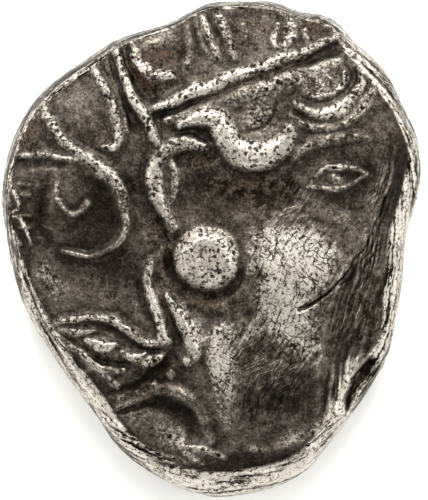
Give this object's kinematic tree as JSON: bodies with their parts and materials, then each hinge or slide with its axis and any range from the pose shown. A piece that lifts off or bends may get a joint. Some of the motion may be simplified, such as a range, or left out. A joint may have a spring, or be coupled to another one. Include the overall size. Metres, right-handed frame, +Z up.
{
  "type": "silver coin",
  "caption": "Thick hand-struck silver coin on an irregular folded flan: helmeted head in high relief on one side, an owl in a sunk square on the other.",
  "frame": {"origin": "under the middle of the bounding box, on the surface that the coin lies on", "axes": "+Z up out of the obverse, +Y towards the top of the head, +X to the head's right as it is seen"},
  "size_m": [0.0204, 0.0242, 0.0059],
  "materials": {
    "coin_silver": "toned struck silver, bright on the worn high points and dark brown-grey in the recesses"
  },
  "bodies": {
    "root": {"coin": "coin_silver"}
  },
  "joints": []
}
